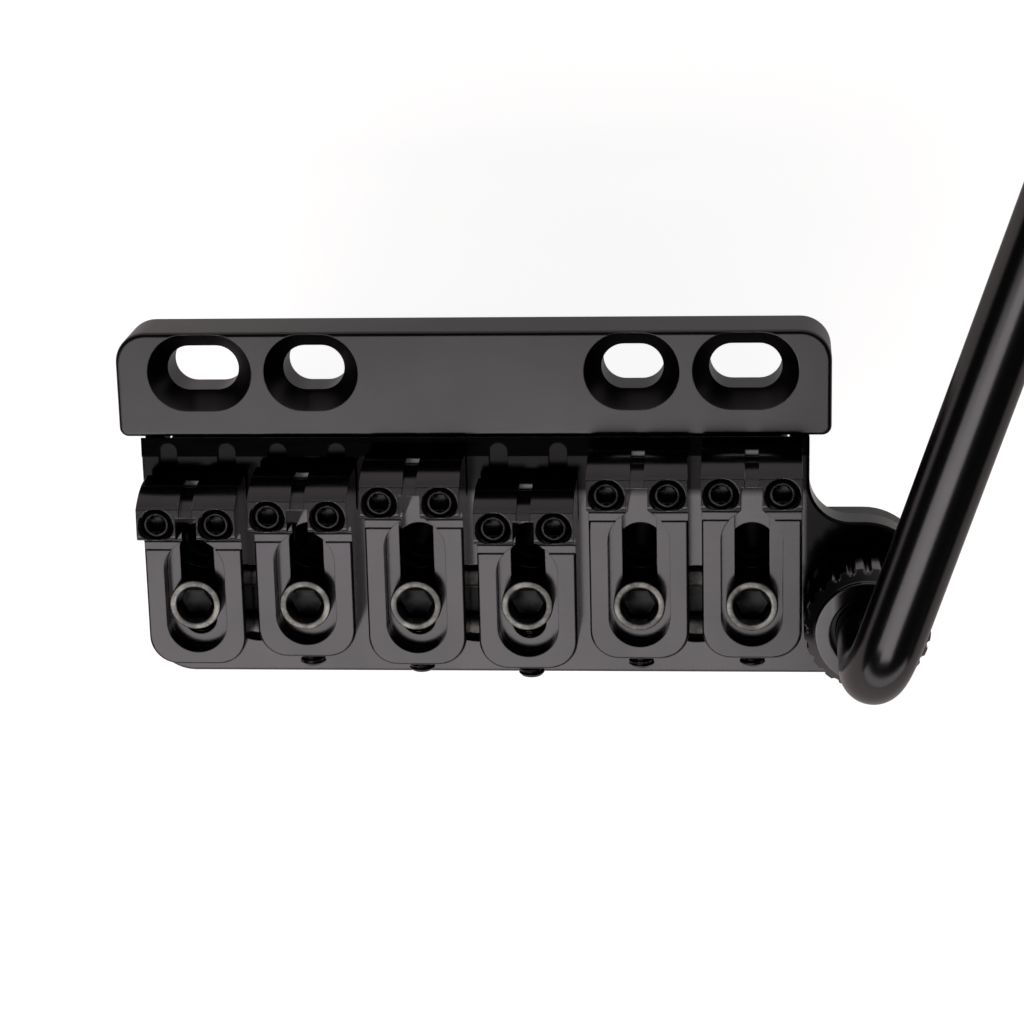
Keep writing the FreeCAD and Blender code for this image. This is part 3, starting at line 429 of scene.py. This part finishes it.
FINISH_TABLE = {
    # Black plated steel, bead blasted before plating: satin, deep grey where it mirrors a softbox.
    "plate": dict(name="Black_plated_steel_satin", base="plating", worn="plating_worn",
                  rough=0.26, spread=0.01, grain_mm=0.12, grain_depth=0.0005, edge_mm=0.14,
                  rim=0.75),
    # The same plating on the base, less blasted. Painted shade darkens it to near black before the
    # saddles and on the tab; behind, it keeps its grey.
    "base": dict(name="Black_plated_steel_smooth", base="plating", worn="plating_worn",
                 rough=0.15, spread=0.02, grain_mm=0.12, grain_depth=0.0003, edge_mm=0.12,
                 painted_shade=((("Y", -12.4, -11.6),), (("X", 31.9, 32.3), ("Y", -25.5, -23.0)))),
    # Black plated steel, fine milled: nearly as glossy on the saddles.
    "saddle": dict(name="Black_plated_steel_milled", base="plating", worn="plating_worn",
                   rough=0.17, spread=0.02, grain_mm=0.1, grain_depth=0.0003, edge_mm=0.12),
    # Black oxide on a steel block: duller and rougher, with a light oil sheen.
    "block": dict(name="Black_oxide_steel_block", base="oxide", worn="plating_worn",
                  rough=0.42, spread=0.07, grain_mm=0.18, grain_depth=0.0022, edge_mm=0.3),
    # Black oxide cap screws: the key rubs the rim of the socket to bare grey steel, and painted
    # shade darkens what lies deeper, down into the key socket.
    "cap": dict(name="Black_oxide_cap_screw", base="oxide", worn="oxide_worn",
                rough=0.32, spread=0.05, grain_mm=0.09, grain_depth=0.0010, edge_mm=0.08,
                rubbed=0.85, painted_shade=((("Z", HEAD_TOP - 0.15, HEAD_TOP - 0.45),),), share=0.4),
    # Black oxide set screws: near black, small glints on the thread.
    "set": dict(name="Black_oxide_set_screw", base="set_oxide", worn="oxide_worn",
                rough=0.26, spread=0.05, grain_mm=0.09, grain_depth=0.0008, edge_mm=0.06,
                rubbed=0.04),
    # Gloss black plating on the round bar: long clean highlights.
    "arm": dict(name="Black_plated_bar_gloss", base="bar", worn="plating_worn",
                rough=0.2, spread=0.01, grain_mm=0.2, grain_depth=0.0003, edge_mm=0.2, rim=0.8),
    # Gloss black plating on the turned and fluted collar.
    "collar": dict(name="Black_plated_collar", base="lacquer", worn="plating_worn",
                   rough=0.11, spread=0.01, grain_mm=0.12, grain_depth=0.0001, edge_mm=0.12),
    # Oiled black oxide inside the collar: the arm's socket stays dark.
    "socket": dict(name="Black_oxide_arm_socket", base="set_oxide", worn="set_oxide",
                   rough=0.3, spread=0.03, grain_mm=0.12, grain_depth=0.0005, edge_mm=0.1),
    # Ground steel pins: bright, fine scratches.
    "pin": dict(name="Ground_steel_pin", base="steel", worn="steel",
                rough=0.25, spread=0.06, grain_mm=0.08, grain_depth=0.0006, edge_mm=0.08),
    # Sintered bearing bronze: warm and matt.
    "bush": dict(name="Sintered_bronze_bush", base="bronze", worn="bronze",
                 rough=0.45, spread=0.08, grain_mm=0.1, grain_depth=0.002, edge_mm=0.08),
}
FINISHES = {}


def finishes():
    """All finishes, made once."""
    if not FINISHES:
        for key, row in FINISH_TABLE.items():
            FINISHES[key] = finish(**row)
    return FINISHES


def coat_node(node, finish_name):
    """Gives a CAD node its finish."""
    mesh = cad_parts[node].data
    mesh.materials.clear()
    mesh.materials.append(finishes()[finish_name])


# Operators

class BRIDGE_OT_plate(bpy.types.Operator):
    """Finish the plate with its pivot pins, the base with its bushes, and the arm socket"""

    bl_idname = "bridge.plate"
    bl_label = "Plate and base"

    def execute(self, context):
        coat_node("fixed_plate", "plate")
        coat_node("bridge_base", "base")
        coat_node("pivot_pins", "pin")
        coat_node("pivot_bushes", "bush")
        coat_node("arm_socket", "socket")
        return {"FINISHED"}


class BRIDGE_OT_block(bpy.types.Operator):
    """Finish the tremolo block and make its three threaded screws"""

    bl_idname = "bridge.block"
    bl_label = "Block and screws"

    def execute(self, context):
        coat_node("tremolo_block", "block")
        s = sizes()
        low, high, middle = box_of("block_screws")
        # Radii of head, shank and the mouth round the key, and height of the head
        head, shank, mouth = (high[1] - low[1]) / 2, 2.0 * MM, 1.95 * MM
        top = 1.9 * MM
        deep = high[2] - low[2] - top
        point, edge, dome = 0.4 * MM, 0.08 * MM, 0.35 * MM
        thread_low, thread_high = -deep + 0.3 * MM, -0.2 * MM
        key_top, key_deep, drill_end = top - 0.15 * MM, 1.0 * MM, top - 1.3 * MM
        rubbed_from = top - 0.2 * MM
        radius, height = stacked(
            plain([(shank - point, -deep)], CAP_POINTS),
            threaded(shank, thread_low, thread_high, s.block_pitch, CAP_POINTS),
            plain([(shank, 0.0), (head - edge, 0.0), (head, edge)] + rounded(head, top, dome)
                  + [(mouth, top)], CAP_POINTS),
            key_socket(s.block_key, key_top, key_deep, CAP_POINTS))
        points, faces = [], []
        for x in (low[0] + head, middle[0], high[0] - head):
            centre = (x, middle[1], high[2] - top)
            faces += skin(len(radius), CAP_POINTS, sum(len(p) for p in points))
            points.append(round_axis(radius, height, -deep, drill_end, centre))
        rub = np.where(height > rubbed_from, 1.0, 0.0)
        put("Block_screws", np.concatenate(points), faces, finishes()["cap"], "bridge",
            "block_screws", wear=np.tile(with_poles(rub), len(points)))
        return {"FINISHED"}


class BRIDGE_OT_saddles(bpy.types.Operator):
    """Finish the six saddles"""

    bl_idname = "bridge.saddles"
    bl_label = "Saddles"

    def execute(self, context):
        for n in STRINGS:
            coat_node("saddle_%d" % n, "saddle")
        return {"FINISHED"}


class BRIDGE_OT_clamp_screws(bpy.types.Operator):
    """Make the six clamp screws with threaded shanks and hexagonal keys"""

    bl_idname = "bridge.clamp_screws"
    bl_label = "Clamp screws"

    def execute(self, context):
        s = sizes()
        top = s.clamp_head_high
        # Radii of the shank, of the mouth round the key and of a row on the flat between them
        shank, mouth, flat = 1.5 * MM, 1.85 * MM, 2.12 * MM
        point, edge, dome, lip = 0.3 * MM, 0.06 * MM, 0.13 * MM, 0.05 * MM
        lip_top, lip_foot = top - 0.02 * MM, top - 0.08 * MM
        # The head stops just short of the saddle's ledge, so that no two faces lie in one plane.
        under = 0.01 * MM
        key_top, key_deep, drill_end = top - 0.35 * MM, 1.25 * MM, top - 2.1 * MM
        rubbed_from, rubbed_over, rubbed_in = top - 0.12 * MM, 0.1 * MM, mouth - 0.01 * MM
        for n in STRINGS:
            node = "clamp_screw_%d" % n
            low, high, middle = box_of(node)
            head = (high[0] - low[0]) / 2
            deep = high[2] - low[2] - top
            thread_low, thread_high = -deep + 0.25 * MM, -0.15 * MM
            radius, height = stacked(
                plain([(shank - point, -deep)], CAP_POINTS),
                threaded(shank, thread_low, thread_high, s.clamp_pitch, CAP_POINTS),
                plain([(shank, under), (head - edge, under), (head, edge), (head, 0.5 * top)]
                      + rounded(head, top, dome, 6)
                      + [(flat, top), (mouth + lip, top), (mouth, lip_top),
                         (mouth - lip, lip_foot)], CAP_POINTS),
                key_socket(s.clamp_key, key_top, key_deep, CAP_POINTS))
            rub = np.clip((height - rubbed_from) / rubbed_over, 0.0, 1.0)
            rub = np.where(radius > rubbed_in, rub, 0.0)
            centre = (middle[0], middle[1], high[2] - top)
            points = round_axis(radius, height, -deep, drill_end, centre)
            put("Clamp_screw_%d" % n, points, skin(len(radius), CAP_POINTS), finishes()["cap"],
                "clamp_%d" % n, node, wear=with_poles(rub))
        return {"FINISHED"}


class BRIDGE_OT_height_screws(bpy.types.Operator):
    """Make the twelve height screws with threads, dog points and hexagonal keys"""

    bl_idname = "bridge.height_screws"
    bl_label = "Height screws"

    def execute(self, context):
        s = sizes()
        # Radii of the dog point, of the mouth round the key and of the rubbed rim's inner edge
        point, mouth, rubbed_in = 0.7 * MM, 0.98 * MM, 0.9 * MM
        point_edge, point_high, thread_low = 0.3 * MM, 0.8 * MM, 1.75 * MM
        for n in STRINGS:
            for hand in HANDS:
                node = "height_screw_%d_%s" % (n, hand)
                low, high, middle = box_of(node)
                thick, tall = (high[0] - low[0]) / 2, high[2] - low[2]
                thread_high, edge_top = tall - 0.3 * MM, tall - 0.02 * MM
                edge_out, edge_in = thick - 0.28 * MM, thick - 0.34 * MM
                key_top, key_deep, drill_end = tall - 0.14 * MM, 1.4 * MM, tall - 1.75 * MM
                rubbed_from = tall - 0.1 * MM
                radius, height = stacked(
                    plain([(point - point_edge, 0.0), (point, point_edge), (point, point_high)],
                          SET_POINTS),
                    threaded(thick, thread_low, thread_high, s.height_pitch, SET_POINTS),
                    plain([(edge_out, edge_top), (edge_in, tall), (mouth, tall)], SET_POINTS),
                    key_socket(s.height_key, key_top, key_deep, SET_POINTS))
                rub = np.where((height > rubbed_from) & (radius > rubbed_in), 1.0, 0.0)
                centre = (middle[0], middle[1], low[2])
                points = round_axis(radius, height, 0.0, drill_end, centre)
                put("Height_screw_%d_%s" % (n, hand), points, skin(len(radius), SET_POINTS),
                    finishes()["set"], "height_%d_%s" % (n, hand), node,
                    wear=with_poles(rub))
        return {"FINISHED"}


class BRIDGE_OT_intonation_screws(bpy.types.Operator):
    """Make the six intonation screws, which lie along the saddles with their keys to the rear"""

    bl_idname = "bridge.intonation_screws"
    bl_label = "Intonation screws"

    def execute(self, context):
        s = sizes()
        # Radii of the mouth round the key and of the rubbed rim's inner edge
        mouth, rubbed_in = 0.84 * MM, 0.78 * MM
        point, thread_low = 0.3 * MM, 0.25 * MM
        for n in STRINGS:
            node = "intonation_screw_%d" % n
            low, high, middle = box_of(node)
            thick, long = (high[0] - low[0]) / 2, high[1] - low[1]
            thread_high, edge_end = long - 0.3 * MM, long - 0.03 * MM
            edge_out, edge_in = thick - 0.26 * MM, thick - 0.34 * MM
            key_end, key_deep, drill_end = long - 0.1 * MM, 1.2 * MM, long - 1.5 * MM
            rubbed_from = long - 0.1 * MM
            radius, height = stacked(
                plain([(thick - point, 0.0)], SET_POINTS),
                threaded(thick, thread_low, thread_high, s.stop_pitch, SET_POINTS),
                plain([(edge_out, edge_end), (edge_in, long), (mouth, long)], SET_POINTS),
                key_socket(s.stop_key, key_end, key_deep, SET_POINTS))
            rub = np.where((height > rubbed_from) & (radius > rubbed_in), 1.0, 0.0)
            centre = (middle[0], high[1], middle[2])
            points = round_axis(radius, height, 0.0, drill_end, centre, along="rear")
            put("Intonation_screw_%d" % n, points, skin(len(radius), SET_POINTS),
                finishes()["set"], "bridge", node, wear=with_poles(rub))
        return {"FINISHED"}


class BRIDGE_OT_collar(bpy.types.Operator):
    """Make the fluted collar round the arm socket"""

    bl_idname = "bridge.collar"
    bl_label = "Arm collar"

    def execute(self, context):
        s = sizes()
        low, high, middle = box_of("arm_collar")
        count = s.flutes * FLUTE_POINTS
        tall = high[2] - low[2]
        # Radii of the fluted grip, the ring above it, the bore and the smaller hole in the ring
        grip, ring, bore, hole = 6.0 * MM, 5.0 * MM, 3.88 * MM, 3.52 * MM
        step, rest = tall - 1.0 * MM, tall - 1.15 * MM
        soft, bevel = 0.3 * MM, 0.09 * MM
        outer = [(grip - soft, 0.0), (grip - bevel, bevel), (grip, soft), (grip, 0.5 * step)]
        # The cone runs on past the CAD's shoulder to the ring's wall, as the photograph shows no
        # shoulder.
        cone_foot, cone_high = step - 0.6 * MM, grip - ring - 0.02 * MM
        cone_rows = (0.0, 0.1, 0.2, 0.3, 0.5, 0.97, 1.0)
        outer += [(grip - cone_high * t, cone_foot + cone_high * t) for t in cone_rows]
        wall_foot = cone_foot + cone_high + 0.05 * MM
        outer += [(ring, wall_foot)]
        # Two rows close to the edges of the ring's flat keep its shading level.
        ring_soft, flat_out, flat_in = 0.14 * MM, ring - 0.17 * MM, hole + 0.15 * MM
        outer += rounded(ring, tall, ring_soft, 7) + [(flat_out, tall), (flat_in, tall)]
        lip, lip_mid, foot = 0.12 * MM, 0.035 * MM, 0.2 * MM
        inner = [(hole + lip, tall), (hole + lip_mid, tall - lip_mid), (hole, tall - lip),
                 (hole, rest), (bore, rest), (bore, foot), (bore + foot, 0.0)]
        radius, height = plain(outer + inner, count)
        angle = angles(count)[None, :]
        apart = (angle * s.flutes / FULL_TURN + 0.5) % 1.0 - 0.5
        aside = grip * apart * FULL_TURN / s.flutes
        # One flute is the bite of a round cutter whose centre stands a little outside the grip.
        cutter_out, inside = 0.1 * MM, bore + 0.5 * MM
        bite = np.sqrt(np.clip(s.flute_radius ** 2 - aside ** 2, 0.0, None)) - cutter_out
        scallop = grip - np.clip(bite, 0.0, None)
        in_grip = (height < step) & (radius > inside)
        radius = np.where(in_grip, np.minimum(radius, scallop), radius)
        points = np.stack([radius * np.cos(angle), radius * np.sin(angle), height], -1)
        points = points.reshape(-1, 3) + np.array([middle[0], middle[1], low[2]])
        faces = bands(len(radius), count, closed=True).tolist()
        put("Arm_collar", points, faces, finishes()["collar"], "collar",
            "arm_collar")
        return {"FINISHED"}


class BRIDGE_OT_arm(bpy.types.Operator):
    """Sweep the tremolo arm up out of its socket, round its bend and out to its rounded tip"""

    bl_idname = "bridge.arm"
    bl_label = "Tremolo arm"

    def execute(self, context):
        s = sizes()
        bend, rise, heading = s.arm_bend, s.arm_rise, s.arm_heading
        base = box_of("tremolo_arm")[0][2]
        axis = box_of("arm_socket")[2]
        # Radius, then the lengths of the chamfered foot and of the rounded tip
        thick, foot, tip = 2.97 * MM, 0.5 * MM, 2.5 * MM
        # The bend ends 32 mm up and the run is 112 mm long, as in the frame.
        level, run = 32.0 * MM, 112.0 * MM
        upright = level - bend * math.cos(rise) - base
        curve = bend * (math.pi / 2 - rise)
        tip_start = upright + curve + run - tip
        # Rows along the path: foot, upright, bend, run and tip
        along = np.concatenate([
            np.linspace(0.0, foot, 4),
            np.linspace(foot, upright, 12)[1:],
            upright + np.linspace(0.0, curve, 40)[1:],
            np.linspace(upright + curve, tip_start, 60)[1:],
            tip_start + tip * np.sin(np.linspace(0.0, math.pi / 2, 14)[1:])])
        lean = np.clip((along - upright) / bend, 0.0, curve / bend)
        past = np.clip(along - upright - curve, 0.0, None)
        out = bend * (1 - np.cos(lean)) + past * math.cos(rise)
        up = base + np.minimum(along, upright) + bend * np.sin(lean) + past * math.sin(rise)
        radius = np.where(along < foot, thick - foot + along, thick)
        in_tip = np.clip(along - tip_start, 0.0, tip)
        radius = radius - tip + np.sqrt(np.clip(tip ** 2 - in_tip ** 2, 0.0, None))
        # Each ring lies square to the path: its first axis leans with the path, its second is
        # level.
        turn = angles(ARM_POINTS)[None, :]
        first = radius[:, None] * np.cos(turn)
        second = radius[:, None] * np.sin(turn)
        flat = out[:, None] + first * np.cos(lean)[:, None]
        x = flat * math.cos(heading) - second * math.sin(heading)
        y = flat * math.sin(heading) + second * math.cos(heading)
        z = up[:, None] - first * np.sin(lean)[:, None]
        rings = np.stack([x, y, z], -1).reshape(-1, 3)
        start = [[0.0, 0.0, base]]
        end = [[out[-1] * math.cos(heading), out[-1] * math.sin(heading), up[-1]]]
        points = np.concatenate([start, rings, end]) + np.array([axis[0], axis[1], 0.0])
        put("Tremolo_arm", points, skin(len(along), ARM_POINTS), finishes()["arm"], "arm",
            "tremolo_arm")
        return {"FINISHED"}


# Stage

def lay_floor(scene):
    """Lays a square sheet of white paper under the block, which glows where the camera sees it."""
    side = np.linspace(-FLOOR_HALF, FLOOR_HALF, FLOOR_POINTS)
    u, v = np.meshgrid(side, side, indexing="ij")
    points = np.stack([u, v, np.full_like(u, CAD_BOX[0][2] - FLOOR_GAP)], -1).reshape(-1, 3)
    cells = np.arange(FLOOR_POINTS - 1)
    i, j = np.meshgrid(cells, cells, indexing="ij")
    this, after = i * FLOOR_POINTS + j, (i + 1) * FLOOR_POINTS + j
    faces = np.stack([this, after, after + 1, this + 1], -1).reshape(-1, 4)
    mesh = bpy.data.meshes.new("Studio_floor")
    mesh.from_pydata(points.tolist(), [], faces.tolist())
    floor = bpy.data.objects.new("Studio_floor", mesh)
    scene.collection.objects.link(floor)
    paper = bpy.data.materials.new("White_studio_paper")
    tree = cleared(paper)
    light = add(tree, "ShaderNodeLightPath")
    mirrored = add(tree, "ShaderNodeMath", {0: (light, "Is Glossy Ray"),
                                            1: (light, "Is Transmission Ray")},
                   operation="MAXIMUM")
    low_glow = product(tree, (mirrored, "Value"), FLOOR_MIRRORED)
    glow = add(tree, "ShaderNodeMath", {0: (light, "Is Camera Ray"), 1: FLOOR_SEEN, 2: low_glow},
               operation="MULTIPLY_ADD")
    matt = add(tree, "ShaderNodeBsdfDiffuse", {"Color": linear(colours().floor)})
    white = add(tree, "ShaderNodeEmission", {"Color": WHITE, "Strength": (glow, "Value")})
    both = add(tree, "ShaderNodeAddShader", {0: (matt, "BSDF"), 1: (white, "Emission")})
    add(tree, "ShaderNodeOutputMaterial", {"Surface": (both, "Shader")})
    mesh.materials.append(paper)


def hang_backdrop(scene):
    """Makes the world white for the camera and dim for all else."""
    world = bpy.data.worlds.new("Dim_studio")
    sky = cleared(world)
    ray = add(sky, "ShaderNodeLightPath")
    bright = ramp(sky, (ray, "Is Camera Ray"), low=WORLD_DIM)
    backdrop = add(sky, "ShaderNodeBackground", {"Color": WHITE, "Strength": bright})
    add(sky, "ShaderNodeOutputWorld", {"Surface": (backdrop, "Background")})
    scene.world = world


def softbox(scene, name, place, target, wide, deep, radiance):
    """An area lamp turned to a target. Its power is its radiance times pi times its area."""
    lamp = bpy.data.lights.new(name, "AREA")
    lamp.shape = "RECTANGLE"
    lamp.size = wide
    lamp.size_y = deep
    lamp.energy = radiance * math.pi * wide * deep
    holder = bpy.data.objects.new(name, lamp)
    holder.location = place
    aim = Vector(target) - Vector(place)
    holder.rotation_euler = aim.to_track_quat("-Z", "Y").to_euler()
    scene.collection.objects.link(holder)


def place_camera(scene):
    """Sets the camera where the photograph was taken."""
    camera = bpy.data.cameras.new("Photo_camera")
    camera.sensor_width = CAMERA_SENSOR
    camera.lens = CAMERA_LENS
    camera.clip_start, camera.clip_end = CAMERA_CLIP
    backward = tuple(-f for f in CAMERA_FORWARD)
    turned = Matrix((CAMERA_RIGHT, CAMERA_UP, backward)).transposed().to_4x4()
    holder = bpy.data.objects.new("Photo_camera", camera)
    holder.matrix_world = Matrix.Translation(CAMERA_PLACE) @ turned
    scene.collection.objects.link(holder)
    scene.camera = holder


class BRIDGE_OT_stage(bpy.types.Operator):
    """Set the pale floor, the softboxes and the camera of the picture"""

    bl_idname = "bridge.stage"
    bl_label = "Stage"

    def execute(self, context):
        scene = context.scene
        scene.view_settings.view_transform = "Standard"
        lay_floor(scene)
        hang_backdrop(scene)
        for row in SOFTBOXES:
            softbox(scene, *row)
        place_camera(scene)
        return {"FINISHED"}


class BRIDGE_PT_pieces(bpy.types.Panel):
    """Lists the pieces, their sizes and their colours"""

    bl_label = "Tremolo bridge"
    bl_space_type = "VIEW_3D"
    bl_region_type = "UI"
    bl_category = "Bridge"

    def draw(self, context):
        for operator in OPERATORS:
            self.layout.operator(operator.bl_idname)
        for group in (context.scene.bridge_sizes, context.scene.bridge_colours):
            for field in group.__annotations__:
                self.layout.prop(group, field)


OPERATORS = (BRIDGE_OT_stage, BRIDGE_OT_plate, BRIDGE_OT_block, BRIDGE_OT_saddles,
             BRIDGE_OT_clamp_screws, BRIDGE_OT_height_screws, BRIDGE_OT_intonation_screws,
             BRIDGE_OT_collar, BRIDGE_OT_arm)
CLASSES = (BridgeSizes, BridgeColours) + OPERATORS + (BRIDGE_PT_pieces,)


def register():
    for item in CLASSES:
        bpy.utils.register_class(item)
    bpy.types.Scene.bridge_sizes = bpy.props.PointerProperty(type=BridgeSizes)
    bpy.types.Scene.bridge_colours = bpy.props.PointerProperty(type=BridgeColours)


def unregister():
    del bpy.types.Scene.bridge_colours
    del bpy.types.Scene.bridge_sizes
    for item in reversed(CLASSES):
        bpy.utils.unregister_class(item)


def main():
    """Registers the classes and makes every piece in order."""
    register()
    bpy.ops.bridge.stage()
    bpy.ops.bridge.plate()
    bpy.ops.bridge.block()
    bpy.ops.bridge.saddles()
    bpy.ops.bridge.clamp_screws()
    bpy.ops.bridge.height_screws()
    bpy.ops.bridge.intonation_screws()
    bpy.ops.bridge.collar()
    bpy.ops.bridge.arm()


if __name__ == "__main__":
    main()
